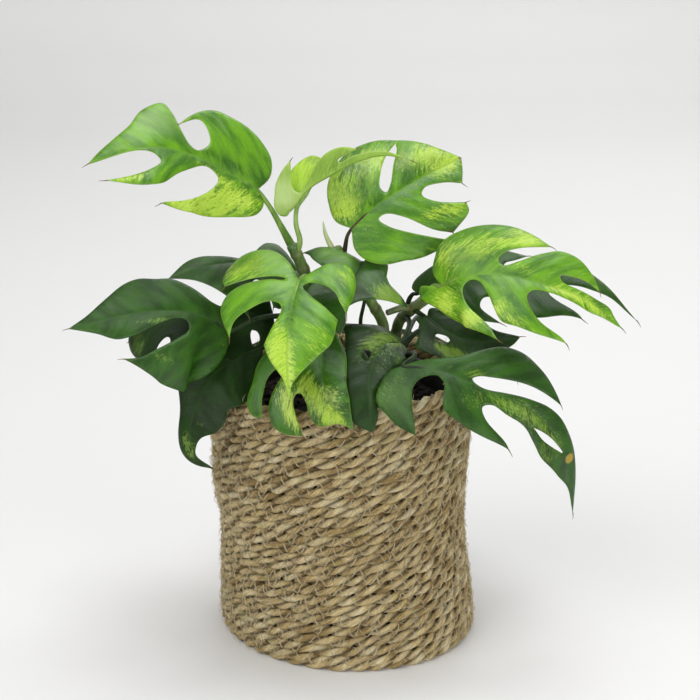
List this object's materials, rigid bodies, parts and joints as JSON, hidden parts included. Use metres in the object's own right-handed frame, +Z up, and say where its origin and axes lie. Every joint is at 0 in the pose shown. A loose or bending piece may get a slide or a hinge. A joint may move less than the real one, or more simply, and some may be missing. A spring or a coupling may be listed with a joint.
{
  "type": "potted plant",
  "caption": "Climbing aroid with glossy, deeply cut and variegated leaves on vines, growing in a black nursery pot that stands in a round basket of coiled jute rope.",
  "frame": {"origin": "middle of the basket's flat underside", "axes": "+Z up; the side of the plant that the picture shows faces -Y; +X is to its right"},
  "size_m": [0.293, 0.2032, 0.2947],
  "materials": {
    "jute_rope": "matte",
    "black_plastic": "satin",
    "potting_soil": "matte",
    "green_stem": "satin",
    "pale_sheath": "satin",
    "mint_leaf": "satin",
    "deep_leaf": "satin"
  },
  "bodies": {
    "root": {"basket": "jute_rope", "nursery_pot": "black_plastic", "potting_soil": "potting_soil", "stem_left": "green_stem", "stem_middle": "green_stem", "stem_right": "green_stem", "shoot_tip": "pale_sheath", "leaf_upper_left": "mint_leaf", "leaf_unfurling": "mint_leaf", "leaf_centre": "mint_leaf", "leaf_upper_right": "mint_leaf", "leaf_right": "mint_leaf", "leaf_under_right": "deep_leaf", "leaf_behind_centre": "deep_leaf", "leaf_back_left": "deep_leaf", "leaf_left": "deep_leaf", "leaf_low_left": "deep_leaf", "leaf_low_centre": "mint_leaf", "leaf_low_middle": "deep_leaf", "leaf_low_right": "deep_leaf", "leaf_mid_right": "deep_leaf", "leaf_rear_low_left": "deep_leaf", "leaf_rear_centre": "mint_leaf", "leaf_rear_low_right": "deep_leaf", "leaf_rear_left": "deep_leaf", "leaf_rear_right": "deep_leaf"}
  },
  "joints": []
}
